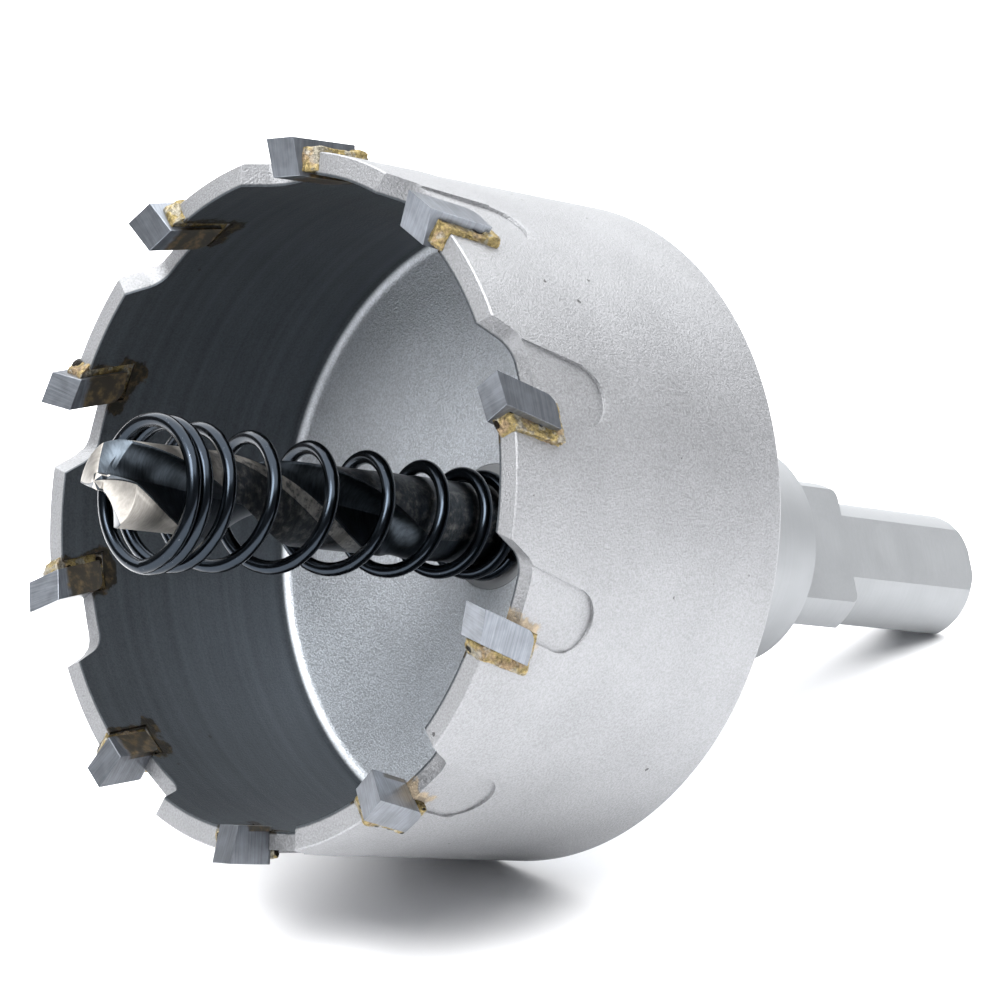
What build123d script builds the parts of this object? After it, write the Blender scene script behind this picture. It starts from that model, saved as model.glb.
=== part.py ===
from build123d import *
import os
from math import asin, atan2, cos, degrees, hypot, radians, sin, tan

# A one-flight hole saw with carbide teeth. It lies on the back edge of its cup and the end of
# its shank, so its axis dips towards the shank. Millimetres, +Z up, floor at z = 0. Places
# along the axis are counted from the plane of the rim: negative ahead of it, positive behind.
# Angles round the axis are counted from the top, towards +Y.

# Cup
cup_band_radius = 24.35
cup_wall = 1.615
cup_band_height = 0.1
cup_band_length = 7.45
cup_length = 26.2
cup_floor_thickness = 4.5
cup_floor_fillet = 0.9
cup_back_edge = 0.4
cup_rim_break = 0.12

# Teeth and the wall around them
tooth_count = 10
tooth_proud_outside = 0.68
tooth_proud_inside = 0.365
tooth_width = 2.2
tooth_reach = 1.76
tooth_depth = 3.35
tooth_slant = 14.5
tooth_front_relief = 8.5
tooth_inward_bevel = 14.0
tooth_heel_radius = 1.1
first_tooth_angle = 13.0
braze_side = 0.6
braze_back = 0.5
gullet_depth = 2.6
gullet_mouth = 4.48
gullet_ramp = 30.0
gullet_corner = 2.0
pocket_width = 4.5
pocket_end = 9.0
pocket_depth = 0.35
pocket_offset = 1.64

# Shank, turned in one with its collar
spigot_radius = 4.6
spigot_clearance = 0.03
collar_radius = 8.6
collar_length = 22.2
collar_chamfer = 0.4
root_radius = 6.35
root_length = 8.6
root_fillet = 0.7
root_edge = 0.6
shank_radius = 5.0
shank_length = 15.5
shank_end_radius = 4.4
shank_chamfer_length = 0.9
shank_chamfer_crown = 3.0
flat_count = 3
flat_apothem = 4.3

# Pilot drill
drill_radius = 3.0
drill_length = 59.3
drill_reach = 15.3
drill_point_angle = 135.0
drill_bore_clearance = 0.03
drill_bore_spare = 1.0
flute_lead = 32.8
flute_cutter_radius = 2.1
flute_web = 1.0
flute_end = 12.5
flute_angle = -20.4

# Grub screw that holds the drill
screw_radius = 2.5
screw_clearance = 0.05
screw_place = 10.8
screw_angle = 100.0
screw_length = 5.0
screw_tip_gap = 0.05
screw_tip_chamfer = 0.5
socket_width = 2.5
socket_depth = 2.2

# Ejector spring
wire_radius = 0.5
spring_front_radius = 5.0
spring_front_sag = 0.42
spring_turns = 9.12
spring_closed_turns = 1.1
spring_rise_turns = 2.4
spring_fall_turns = 2.3
spring_rear_turns = 0.6
spring_open_pitch = 5.5
spring_coil_gap = 0.06
spring_seat_gap = 0.05
spring_drill_gap = 0.06
spring_start_angle = 199.0
spring_points_per_turn = 10

# Radii that follow from the cup's band
cup_body_radius = cup_band_radius - cup_band_height
cup_bore_radius = cup_band_radius - cup_wall
tooth_outer_radius = cup_band_radius + tooth_proud_outside
tooth_inner_radius = cup_bore_radius - tooth_proud_inside

# Places along the axis
cup_floor = cup_length - cup_floor_thickness
collar_back = cup_length + collar_length
root_back = collar_back + root_length
shank_end = root_back + shank_length
drill_back = drill_length - drill_reach
bore_end = drill_back + drill_bore_spare
chamfer_slope = shank_chamfer_length / (shank_radius - shank_end_radius)
flat_end = shank_end - max(flat_apothem - shank_end_radius, 0) * chamfer_slope

# The lean at which the rounded back edge of the cup and one shank flat both touch the floor
rest_reach = flat_end - (cup_length - cup_back_edge)
rest_drop = cup_body_radius - cup_back_edge - flat_apothem
lean = degrees(atan2(rest_drop, rest_reach) + asin(cup_back_edge / hypot(rest_drop, rest_reach)))
axis_dir = Vector(cos(radians(lean)), 0, -sin(radians(lean)))
up_dir = Vector(sin(radians(lean)), 0, cos(radians(lean)))
side_dir = Vector(0, 1, 0)

# The origin lies on the floor, midway between the drill's tip and the end of the shank
rim_height = flat_end * sin(radians(lean)) + flat_apothem * cos(radians(lean))
tip_x = -drill_reach * cos(radians(lean))
end_x = shank_end * cos(radians(lean)) + shank_end_radius * sin(radians(lean))
rim_centre = Vector(-(tip_x + end_x) / 2, 0, rim_height)


def outward(angle):
    """The direction square to the axis at an angle from the top."""
    return up_dir * cos(radians(angle)) + side_dir * sin(radians(angle))


def on_axis(place):
    """The point of the axis at a place behind the rim."""
    return rim_centre + axis_dir * place


def profile_plane():
    """Upright, through the axis: x runs along the axis from the rim, y is the radius."""
    return Plane(origin=rim_centre, x_dir=axis_dir, z_dir=axis_dir.cross(up_dir))


def tangent_plane(angle, radius):
    """Square to a radius: x runs along the axis from the rim, y towards growing angles."""
    return Plane(origin=rim_centre + outward(angle) * radius, x_dir=axis_dir, z_dir=outward(angle))


def cross_plane(place, angle):
    """Square to the axis: y points outward at the angle."""
    return Plane(origin=on_axis(place), x_dir=outward(angle + 90), z_dir=axis_dir)


saw_axis = Axis(tuple(rim_centre), tuple(axis_dir))
tooth_angles = [first_tooth_angle + 360 / tooth_count * k for k in range(tooth_count)]
slant = tan(radians(tooth_slant))
side_step = 1 / cos(radians(tooth_slant))


def leading_edge(place):
    """The y of a tooth's slanted leading face, in its tangent plane."""
    return -slant * (place + tooth_reach)


def tooth_outline(plane):
    """A tooth seen from outside the cup, with its heel towards the gullet rounded."""
    front = -tooth_reach
    back = tooth_depth
    width = tooth_width * side_step
    with BuildSketch(plane) as outline:
        with BuildLine():
            Polyline(
                (front, leading_edge(front)),
                (back, leading_edge(back)),
                (back, leading_edge(back) - width),
                (front, leading_edge(front) - width),
                close=True,
            )
        make_face()
        heel = outline.vertices().group_by(Axis.X)[-1].sort_by(Axis.Y)[-1]
        fillet(heel, tooth_heel_radius)
    return outline.sketch


def notch_outline(plane):
    """The notch that the tooth and its braze fill, left open ahead of the rim."""
    front = -tooth_reach
    back = tooth_depth + braze_back
    width = (tooth_width + braze_side) * side_step
    with BuildSketch(plane) as outline:
        with BuildLine():
            Polyline(
                (front, leading_edge(front)),
                (back, leading_edge(back)),
                (back, leading_edge(back) - width),
                (front, leading_edge(front) - width),
                close=True,
            )
        make_face()
    return outline.sketch


def gullet_outline(plane):
    """The gullet ahead of a tooth: a ramp down from the rim, a rounded corner and a flat bottom."""
    ramp = tan(radians(gullet_ramp))
    corner = gullet_mouth - gullet_depth * ramp
    inside_notch = leading_edge(gullet_depth) - tooth_width / 2
    bend = gullet_corner * tan(radians(90 - gullet_ramp) / 2)
    ramp_point = (
        gullet_depth - bend * cos(radians(gullet_ramp)),
        corner + bend * sin(radians(gullet_ramp)),
    )
    floor_point = (gullet_depth, corner - bend)
    with BuildSketch(plane) as outline:
        with BuildLine():
            Polyline(
                floor_point,
                (gullet_depth, inside_notch),
                (-tooth_reach, inside_notch),
                (-tooth_reach, gullet_mouth + tooth_reach * ramp),
                ramp_point,
            )
            RadiusArc(ramp_point, floor_point, gullet_corner)
        make_face()
    return outline.sketch


def pocket_outline(plane):
    """The shallow pocket in the wall behind a gullet, slanted like the tooth, with a round end."""
    end = pocket_end - pocket_width / 2
    start = gullet_depth / 2
    end_y = leading_edge(end) + pocket_offset * side_step
    start_y = end_y + slant * (end - start)
    half = pocket_width / 2 * side_step
    with BuildSketch(plane) as outline:
        with BuildLine():
            Polyline(
                (start, start_y - half),
                (start, start_y + half),
                (end, end_y + half),
                (end, end_y - half),
                close=True,
            )
        make_face()
        with Locations((end, end_y)):
            Circle(pocket_width / 2)
    return outline.sketch


# Cup: a turned shell with a thick floor, notched for the teeth
with BuildPart() as cup:
    with BuildSketch(profile_plane()):
        with BuildLine():
            Polyline(
                (cup_length, cup_body_radius - cup_back_edge),
                (cup_length, spigot_radius + spigot_clearance),
                (cup_floor, spigot_radius + spigot_clearance),
                (cup_floor, cup_bore_radius - cup_floor_fillet),
            )
            RadiusArc(
                (cup_floor, cup_bore_radius - cup_floor_fillet),
                (cup_floor - cup_floor_fillet, cup_bore_radius),
                cup_floor_fillet,
            )
            Polyline(
                (cup_floor - cup_floor_fillet, cup_bore_radius),
                (0, cup_bore_radius),
                (0, cup_band_radius - cup_rim_break),
                (cup_rim_break, cup_band_radius),
                (cup_band_length, cup_band_radius),
                (cup_band_length, cup_body_radius),
                (cup_length - cup_back_edge, cup_body_radius),
            )
            RadiusArc(
                (cup_length - cup_back_edge, cup_body_radius),
                (cup_length, cup_body_radius - cup_back_edge),
                cup_back_edge,
            )
        make_face()
    revolve(axis=saw_axis)
    for angle in tooth_angles:
        inside = tangent_plane(angle, cup_bore_radius / 2)
        extrude(notch_outline(inside), amount=cup_band_radius, mode=Mode.SUBTRACT)
        extrude(gullet_outline(inside), amount=cup_band_radius, mode=Mode.SUBTRACT)
        pocket_floor = tangent_plane(angle, cup_band_radius - pocket_depth)
        extrude(pocket_outline(pocket_floor), amount=2 * pocket_depth, mode=Mode.SUBTRACT)


# Shank: a spigot in the cup floor, a collar round the drill, and a stepped end with three flats
with BuildPart() as shank:
    with BuildSketch(profile_plane()):
        with BuildLine():
            Polyline(
                (collar_back, root_radius + root_fillet),
                (collar_back, collar_radius - collar_chamfer),
                (collar_back - collar_chamfer, collar_radius),
                (cup_length, collar_radius),
                (cup_length, spigot_radius),
                (cup_floor, spigot_radius),
                (cup_floor, drill_radius + drill_bore_clearance),
                (bore_end, drill_radius + drill_bore_clearance),
                (bore_end, 0),
                (shank_end, 0),
                (shank_end, shank_end_radius),
            )
            RadiusArc(
                (shank_end, shank_end_radius),
                (shank_end - shank_chamfer_length, shank_radius),
                -shank_chamfer_crown,
            )
            Polyline(
                (shank_end - shank_chamfer_length, shank_radius),
                (root_back, shank_radius),
                (root_back, root_radius - root_edge),
            )
            RadiusArc(
                (root_back, root_radius - root_edge),
                (root_back - root_edge, root_radius),
                -root_edge,
            )
            Line((root_back - root_edge, root_radius), (collar_back + root_fillet, root_radius))
            RadiusArc(
                (collar_back + root_fillet, root_radius),
                (collar_back, root_radius + root_fillet),
                root_fillet,
            )
        make_face()
    revolve(axis=saw_axis)
    for k in range(flat_count):
        with BuildSketch(cross_plane(collar_back, 180 + 360 / flat_count * k)):
            with Locations((0, flat_apothem + root_radius)):
                Rectangle(4 * root_radius, 2 * root_radius)
        extrude(amount=root_length + shank_length, mode=Mode.SUBTRACT)
    with BuildSketch(tangent_plane(screw_angle, 0)):
        with Locations((cup_length + screw_place, 0)):
            Circle(screw_radius)
    extrude(amount=2 * collar_radius, mode=Mode.SUBTRACT)


# Pilot drill: a two-flute twist drill with a plain shank
point_length = drill_radius / tan(radians(drill_point_angle / 2))
cutter_orbit = flute_web / 2 + flute_cutter_radius
with BuildPart() as pilot_drill:
    with BuildSketch(profile_plane()):
        with BuildLine():
            Polyline(
                (-drill_reach, 0),
                (point_length - drill_reach, drill_radius),
                (drill_back, drill_radius),
                (drill_back, 0),
                close=True,
            )
        make_face()
    revolve(axis=saw_axis)
    for half_turn in (0, 180):
        flute_start = -drill_reach - flute_cutter_radius
        start_angle = flute_angle + 360 * flute_cutter_radius / flute_lead + half_turn
        with BuildLine() as flute_path:
            Spline(
                *[
                    on_axis(flute_start + (flute_end - flute_start) * k / 16)
                    + outward(start_angle - 360 * (flute_end - flute_start) * k / 16 / flute_lead)
                    * cutter_orbit
                    for k in range(17)
                ]
            )
        with BuildSketch(Plane(origin=flute_path.line @ 0, z_dir=flute_path.line % 0)):
            Circle(flute_cutter_radius)
        sweep(path=flute_path.line, mode=Mode.SUBTRACT)


# Grub screw: bears on the drill through the side of the collar
with BuildPart() as grub_screw:
    with BuildSketch(tangent_plane(screw_angle, drill_radius + screw_tip_gap)):
        with Locations((cup_length + screw_place, 0)):
            Circle(screw_radius - screw_clearance)
    extrude(amount=screw_length)
    tip_face = grub_screw.faces().sort_by(Axis(tuple(rim_centre), tuple(outward(screw_angle))))[0]
    chamfer(tip_face.edges(), screw_tip_chamfer)
    with BuildSketch(tangent_plane(screw_angle, drill_radius + screw_tip_gap + screw_length)):
        with Locations((cup_length + screw_place, 0)):
            RegularPolygon(socket_width / 2, 6, major_radius=False)
    extrude(amount=-socket_depth, mode=Mode.SUBTRACT)


# Ejector spring: a conical wire spring, closed at both ends, that grips the drill at the cup floor
closed_pitch = 2 * wire_radius + spring_coil_gap
spring_rear_radius = drill_radius + spring_drill_gap + wire_radius
open_turns = (
    spring_turns - spring_closed_turns - spring_rise_turns - spring_fall_turns - spring_rear_turns
)


def spring_advance(turn):
    """How far the wire has gone along the axis after so many turns from its front end."""
    rise_pitch = spring_open_pitch - closed_pitch
    risen = min(max(turn - spring_closed_turns, 0), spring_rise_turns)
    opened = max(turn - spring_closed_turns - spring_rise_turns, 0)
    fall = min(max(opened - open_turns, 0), spring_fall_turns)
    closed = max(opened - open_turns - spring_fall_turns, 0)
    rise_length = closed_pitch * risen + rise_pitch * risen**2 / spring_rise_turns / 2
    open_length = spring_open_pitch * min(opened, open_turns)
    fall_length = spring_open_pitch * fall - rise_pitch * fall**2 / spring_fall_turns / 2
    return (
        closed_pitch * min(turn, spring_closed_turns)
        + rise_length
        + open_length
        + fall_length
        + closed_pitch * closed
    )


spring_back = cup_floor - spring_seat_gap - wire_radius
spring_front = spring_back - spring_advance(spring_turns)
spring_steps = round(spring_turns * spring_points_per_turn)
taper_turns = spring_turns - spring_closed_turns - spring_rear_turns - 1
with BuildPart() as ejector_spring:
    spring_points = []
    for step in range(spring_steps + 1):
        turn = spring_turns * step / spring_steps
        tapered = min(max(turn - spring_closed_turns, 0) / taper_turns, 1)
        radius = spring_front_radius + (spring_rear_radius - spring_front_radius) * tapered
        spring_points.append(
            on_axis(spring_front + spring_advance(turn))
            + outward(spring_start_angle + 360 * turn) * radius
            - up_dir * spring_front_sag * (1 - tapered)
        )
    with BuildLine() as wire_path:
        Spline(*spring_points)
    with BuildSketch(Plane(origin=wire_path.line @ 0, z_dir=wire_path.line % 0)):
        Circle(wire_radius)
    sweep(path=wire_path.line)


def make_tooth(angle):
    """A carbide block set in the wall, its end ground back and inward from the outer corner."""
    front_slope = tan(radians(tooth_front_relief))
    inward_slope = tan(radians(tooth_inward_bevel))
    with BuildPart() as tooth:
        tooth_plane = tangent_plane(angle, tooth_inner_radius)
        extrude(tooth_outline(tooth_plane), amount=tooth_outer_radius - tooth_inner_radius)
        outer_face = tangent_plane(angle, tooth_outer_radius)
        corner = outer_face.from_local_coords(Vector(-tooth_reach, 0, 0))
        normal = outer_face.from_local_coords(Vector(-1, -front_slope, -inward_slope))
        ground_end = Plane(origin=corner, z_dir=normal - outer_face.origin)
        split(bisect_by=ground_end, keep=Keep.BOTTOM)
    return tooth.part


def make_seam(angle, tooth):
    """The brass that fills the notch behind and beside a tooth, flush with both faces of the wall."""
    with BuildPart() as seam:
        with BuildSketch(profile_plane()):
            with Locations(((tooth_depth + braze_back) / 2, (cup_band_radius + cup_bore_radius) / 2)):
                Rectangle(tooth_depth + braze_back, cup_band_radius - cup_bore_radius)
        revolve(axis=saw_axis)
        inside = tangent_plane(angle, cup_bore_radius / 2)
        extrude(notch_outline(inside), amount=cup_band_radius, mode=Mode.INTERSECT)
        add(tooth, mode=Mode.SUBTRACT)
    return seam.part


os.makedirs("parts", exist_ok=True)
cup.part.label = "cup"
export_step(cup.part, "parts/cup.step")
shank.part.label = "shank"
export_step(shank.part, "parts/shank.step")
pilot_drill.part.label = "pilot_drill"
export_step(pilot_drill.part, "parts/pilot_drill.step")
grub_screw.part.label = "grub_screw"
export_step(grub_screw.part, "parts/grub_screw.step")
ejector_spring.part.label = "ejector_spring"
export_step(ejector_spring.part, "parts/ejector_spring.step")

for number, angle in enumerate(tooth_angles, start=1):
    tooth = make_tooth(angle)
    seam = make_seam(angle, tooth)
    tooth.label = f"carbide_tooth_{number:02d}"
    export_step(tooth, f"parts/carbide_tooth_{number:02d}.step")
    seam.label = f"braze_seam_{number:02d}"
    export_step(seam, f"parts/braze_seam_{number:02d}.step")
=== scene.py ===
import functools
import math

import bmesh
import bpy
from mathutils import Matrix, Vector


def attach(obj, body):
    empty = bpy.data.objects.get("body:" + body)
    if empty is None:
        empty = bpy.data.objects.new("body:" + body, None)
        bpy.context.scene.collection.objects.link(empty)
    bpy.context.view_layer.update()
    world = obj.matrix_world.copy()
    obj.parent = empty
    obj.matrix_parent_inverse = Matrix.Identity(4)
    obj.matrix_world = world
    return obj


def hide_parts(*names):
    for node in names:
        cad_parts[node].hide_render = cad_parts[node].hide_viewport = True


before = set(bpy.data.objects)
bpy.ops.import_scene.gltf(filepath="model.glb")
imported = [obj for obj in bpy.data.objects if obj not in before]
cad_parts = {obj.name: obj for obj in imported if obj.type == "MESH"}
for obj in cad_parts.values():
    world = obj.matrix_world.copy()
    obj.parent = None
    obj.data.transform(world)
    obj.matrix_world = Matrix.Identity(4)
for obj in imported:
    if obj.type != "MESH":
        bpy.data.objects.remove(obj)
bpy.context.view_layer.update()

bl_info = {
    "name": "Hole saw",
    "version": (1, 0, 0),
    "blender": (4, 5, 0),
    "location": "View3D > Sidebar > Hole saw",
    "description": "A carbide-tipped hole saw with its drill, spring and chuck shank, lying on a table",
    "category": "Object",
}

MM = 0.001

# The saw is made in its own frame: x runs from the rim along the axis towards the shank, y is to
# the left seen from the teeth, z is up. Angles are counted from the top towards +y. Each piece is
# then laid where the saw rests.


# Sizes and colours


def length(name, description, millimetres):
    """A size in metres that a user can change."""
    return bpy.props.FloatProperty(
        name=name, description=description, default=millimetres * MM, unit="LENGTH", precision=5
    )


def turn(name, description, degrees):
    """An angle that a user can change."""
    return bpy.props.FloatProperty(
        name=name, description=description, default=math.radians(degrees), subtype="ANGLE"
    )


def turns(name, description, number):
    """A number of turns of wire that a user can change."""
    return bpy.props.FloatProperty(name=name, description=description, default=number)


def linear(hex_value):
    """A linear colour from an sRGB hex value such as b9bbbd."""
    channels = [int(hex_value[i : i + 2], 16) / 255 for i in (0, 2, 4)]
    return tuple(c / 12.92 if c <= 0.04045 else ((c + 0.055) / 1.055) ** 2.4 for c in channels) + (1.0,)


def colour(name, description, hex_value):
    """A colour that a user can change, given as sRGB."""
    return bpy.props.FloatVectorProperty(
        name=name, description=description, default=linear(hex_value), subtype="COLOR", size=4, min=0, max=1
    )


class CupSizes(bpy.types.PropertyGroup):
    """Sizes of the cup, its gullets and its pockets."""

    band_radius: length("Band radius", "Outside radius of the band behind the rim", 24.35)
    wall: length("Wall", "Thickness of the wall at the band", 1.615)
    band_height: length("Band height", "How far the band stands above the rest of the wall", 0.1)
    band_length: length("Band length", "Length of the band, from the rim", 7.45)
    cup_length: length("Length", "From the rim to the back of the cup", 26.2)
    floor_thickness: length("Floor thickness", "Thickness of the cup's floor", 4.5)
    floor_fillet: length("Floor fillet", "Radius between the wall and the floor, inside", 0.9)
    back_edge: length("Back edge", "Radius of the cup's back edge", 0.4)
    rim_break: length("Rim break", "Chamfer on the rim's outer edge", 0.1)
    spigot_hole: length("Spigot hole", "Radius of the hole for the shank's spigot", 4.63)
    gullet_depth: length("Gullet depth", "Depth of a gullet behind the rim", 2.6)
    gullet_mouth: length("Gullet mouth", "From a tooth's leading corner to the gullet's far corner", 4.48)
    gullet_ramp: turn("Gullet ramp", "Slope of the gullet's far side, from the axis", 30.0)
    gullet_corner: length("Gullet corner", "Radius between the gullet's far side and its bottom", 2.0)
    pocket_width: length("Pocket width", "Width of the shallow pocket behind a gullet", 4.5)
    pocket_end: length("Pocket end", "From the rim to the far end of a pocket", 9.0)
    pocket_depth: length("Pocket depth", "Depth of a pocket in the wall", 0.35)
    pocket_offset: length("Pocket offset", "Middle of a pocket ahead of the tooth's leading face", 1.64)
    edge_break: length("Edge break", "Rounding that blasting leaves on milled edges", 0.035)


class ToothSizes(bpy.types.PropertyGroup):
    """Sizes of the carbide teeth and their braze."""

    count: bpy.props.IntProperty(name="Teeth", description="Number of teeth round the rim", default=10)
    first_angle: turn("First tooth", "Angle of the first tooth's leading corner, from the top", 13.0)
    proud_outside: length("Proud outside", "How far a tooth stands out of the wall", 0.68)
    proud_inside: length("Proud inside", "How far a tooth stands into the cup", 0.365)
    width: length("Width", "Width of a tooth round the rim", 2.2)
    reach: length("Reach", "How far a tooth's outer corner stands ahead of the rim", 1.76)
    depth: length("Depth", "From the rim to the back of a tooth", 3.35)
    slant: turn("Slant", "Slant of the teeth, gullets and pockets, from the axis", 14.5)
    front_relief: turn("Front relief", "How a tooth's end falls back behind its leading face", 8.5)
    inward_bevel: turn("Inward bevel", "How a tooth's end falls back towards the inside", 14.0)
    heel_radius: length("Heel radius", "Radius of a tooth's heel towards the gullet", 1.1)
    edge_break: length("Edge break", "Rounding on a tooth's ground edges", 0.045)
    braze_side: length("Braze beside", "Thickness of the braze beside a tooth", 0.6)
    braze_back: length("Braze behind", "Thickness of the braze behind a tooth", 0.5)
    braze_climb: length("Braze climb", "How far the braze has crept up a tooth's side, ahead of the rim", 0.6)
    braze_creep: length("Braze creep", "How far the braze has crept over the edge of its notch", 0.1)
    braze_spread: length("Braze spread", "How far the braze has spread over the rim", 0.35)
    braze_swell: length("Braze swell", "How far the braze behind a tooth swells out of the wall", 0.3)
    braze_lumps: length("Braze lumps", "Height of the lumps in the braze's skin", 0.34)
    lump_width: length("Lump width", "Width of the lumps in the braze's skin", 1 / 1.1)


class ShankSizes(bpy.types.PropertyGroup):
    """Sizes of the shank, its bore and its grub screw's hole."""

    spigot_radius: length("Spigot radius", "Radius of the part in the cup's floor", 4.6)
    collar_radius: length("Collar radius", "Radius of the collar behind the cup", 8.6)
    collar_length: length("Collar length", "Length of the collar", 22.2)
    collar_chamfer: length("Collar chamfer", "Chamfer on the collar's rear edge", 0.4)
    root_radius: length("Root radius", "Radius of the thick part behind the collar", 6.35)
    root_length: length("Root length", "Length of the thick part behind the collar", 8.6)
    root_fillet: length("Root fillet", "Radius between the collar and the root", 0.7)
    root_edge: length("Root edge", "Radius of the root's rear edge", 0.6)
    end_radius: length("Chuck radius", "Radius of the chuck end", 5.0)
    end_length: length("Chuck length", "Length of the chuck end", 15.5)
    end_face: length("End face", "Radius of the end face inside its chamfer", 4.4)
    end_chamfer: length("End chamfer", "Length of the chamfer at the end", 0.9)
    end_crown: length("End crown", "Radius of the slightly rounded chamfer at the end", 3.0)
    flat_count: bpy.props.IntProperty(name="Flats", description="Number of flats for the chuck", default=3)
    flat_apothem: length("Flats", "From the axis to each of the flats", 4.3)
    drill_clearance: length("Drill clearance", "Gap round the drill in its bore", 0.03)
    drill_spare: length("Spare bore", "Depth of the bore behind the drill", 1.0)
    screw_place: length("Screw place", "From the cup's back to the grub screw's middle", 10.8)
    screw_radius: length("Screw hole", "Radius of the grub screw's hole", 2.5)
    screw_angle: turn("Screw angle", "Angle of the grub screw, from the top", 100.0)
    edge_break: length("Edge break", "Rounding on the shank's milled edges", 0.08)


class DrillSizes(bpy.types.PropertyGroup):
    """Sizes of the pilot drill."""

    radius: length("Radius", "Radius of the drill", 3.0)
    reach: length("Reach", "How far the drill's tip stands ahead of the rim", 15.3)
    drill_length: length("Length", "Whole length of the drill", 59.3)
    end_chamfer: length("End chamfer", "Chamfer on the drill's rear end", 0.4)
    point: turn("Point", "Angle across the drill's point", 135.0)
    lead: length("Lead", "How far the flutes take to go once round", 32.8)
    chisel: length("Chisel edge", "Half the length of the edge between the two lips", 0.6)
    flute_width: turn("Flute width", "How far round a flute is open", 90.0)
    flute_end: length("Flute end", "Where the flutes have run out, behind the rim", 13.5)
    runout: length("Run-out", "How long the flutes take to run out", 3.5)
    flute_angle: turn("Flute angle", "Angle of one flute at the tip, from the top", -20.4)
    margin: length("Margin", "Width of the narrow guiding strip on each land", 0.45)
    margin_slope: length("Margin slope", "Width of the step from the margin down to the land", 0.15)
    land_relief: length("Land relief", "How much lower a land is behind its margin", 0.03)
    point_relief: length("Point relief", "How far the point falls back behind its lip", 0.3)
    gash_angle: turn("Gash angle", "Where the ground gash begins, behind the lip", 63.0)
    heel_drop: length("Heel drop", "How far the gash has cut back at the heel", 1.3)
    ground_web: length("Ground web", "How far out the gash has ground the flutes bright", 0.9)
    bright_strip: length("Bright strip", "Width of the bright strip behind each margin", 0.8)
    bright_end: length("Bright end", "Where the bright margins turn black, behind the rim", 9.0)
    land_end: length("Land end", "Where the lands turn black behind their margins, from the rim", -5.0)
    mottled_from: length("Mottled from", "Where the bright steel starts to be mottled, from the rim", -9.0)
    fade: length("Fade", "How long the bright steel takes to turn black", 2.5)
    worn_land: bpy.props.FloatProperty(
        name="Worn lands", description="How bright the worn black lands are", default=0.1, subtype="FACTOR"
    )


class SpringSizes(bpy.types.PropertyGroup):
    """Sizes of the ejector spring."""

    wire_radius: length("Wire radius", "Radius of the wire", 0.5)
    front_radius: length("Front radius", "Radius of the coils at the front", 5.0)
    front_sag: length("Front sag", "How far the front coils hang below the drill's axis", 0.42)
    rear_radius: length("Rear radius", "Radius of the coils on the drill", 3.56)
    wire_turns: turns("Turns", "Turns of wire", 9.12)
    closed_turns: turns("Closed turns", "Closed turns in front", 1.1)
    rise_turns: turns("Rise turns", "Turns that open up", 2.4)
    fall_turns: turns("Fall turns", "Turns that close again", 2.3)
    rear_turns: turns("Rear turns", "Closed turns at the back", 0.6)
    grip_turns: turns("Grip turns", "Turns that grip the drill ahead of the closed ones at the back", 1.0)
    open_pitch: length("Open pitch", "From coil to coil in the middle", 5.5)
    closed_pitch: length("Closed pitch", "From coil to coil at the ends", 1.06)
    back_place: length("Back place", "Middle of the last coil, behind the rim", 21.15)
    start_angle: turn("Start angle", "Angle of the wire's front end, from the top", 199.0)


class Finishes(bpy.types.PropertyGroup):
    """Colours of the finishes, with the cup's floor and bore painted lighter and darker for light and shade,
    and where brass was spilt.
    """

    blasted: colour("Blasted steel", "Bead-blasted bare steel", "8b8c8e")
    # painted light: the cup's floor inside gets a lighter colour for the light that falls in through the
    # mouth
    lit_cup_floor: colour("Cup floor", "The cup's floor inside, where the blasting is freshest", "c4c8cd")
    # painted shade: the inside of the wall gets a darker colour for the shade inside the cup
    bore: colour("Bore", "The inside of the wall, which the blasting hardly reached", "484c50")
    speck: colour("Speck", "Dark pits in the blasted steel", "3a3a39")
    turned: colour("Turned steel", "Turned and milled bare steel", "909294")
    carbide: colour("Carbide", "Ground tungsten carbide", "6b6f75")
    brass: colour("Braze", "Brass brazing alloy", "82744f")
    peach: colour("Peach bloom", "Bloom of copper on the braze", "7f6d5b")
    pale: colour("Pale bloom", "Steel-grey bloom on the braze", "85847e")
    pit: colour("Braze pit", "Pinholes in the braze", "16130f")
    stain: colour("Flux stain", "Brass and flux smeared beside the braze", "584a33")
    burnt: colour("Burnt flux", "Flux burnt dark inside the cup", "2a261f")
    spill: colour("Spilt brass", "Brass that ran over the wall, peach-gold", "8b7d68")
    spill_from: turn("Spill from", "Where the run of brass on the wall begins, from the top", -145)
    spill_to: turn("Spill to", "Where the run of brass on the wall ends, from the top", -80)
    oxide: colour("Black oxide", "Black oxide on spring wire and screws", "262b31")
    dust: colour("Dust", "Pale specks of dust on the black oxide", "6c6f73")
    flute: colour("Dark flute", "Steam-tempered high-speed steel", "31363b")
    land: colour("Ground land", "Bright ground high-speed steel", "aaa6a0")
    floor: colour("Floor", "Plain pale table", "f4f4f5")


# Places


def saw_point(place, radius, angle):
    """A point of the saw's frame from its place along the axis, its radius and its angle."""
    return Vector((place, radius * math.sin(angle), radius * math.cos(angle)))


def resting_place():
    """The rim's centre and the dip of the axis, with the cup's back edge and one flat on the table."""
    scene = bpy.context.scene
    cup, shank, drill = scene.saw_cup, scene.saw_shank, scene.saw_drill
    shank_end = cup.cup_length + shank.collar_length + shank.root_length + shank.end_length
    run = shank_end - (cup.cup_length - cup.back_edge)
    drop = cup.band_radius - cup.band_height - cup.back_edge - shank.flat_apothem
    lean = math.atan2(drop, run) + math.asin(cup.back_edge / math.hypot(drop, run))
    height = shank_end * math.sin(lean) + shank.flat_apothem * math.cos(lean)
    tip_x = -drill.reach * math.cos(lean)
    end_x = shank_end * math.cos(lean) + shank.end_face * math.sin(lean)
    return Vector((-(tip_x + end_x) / 2, 0, height)), lean


def tooth_angles():
    """The angle of each tooth's leading corner."""
    teeth = bpy.context.scene.saw_teeth
    return [teeth.first_angle + 2 * math.pi * k / teeth.count for k in range(teeth.count)]


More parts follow.
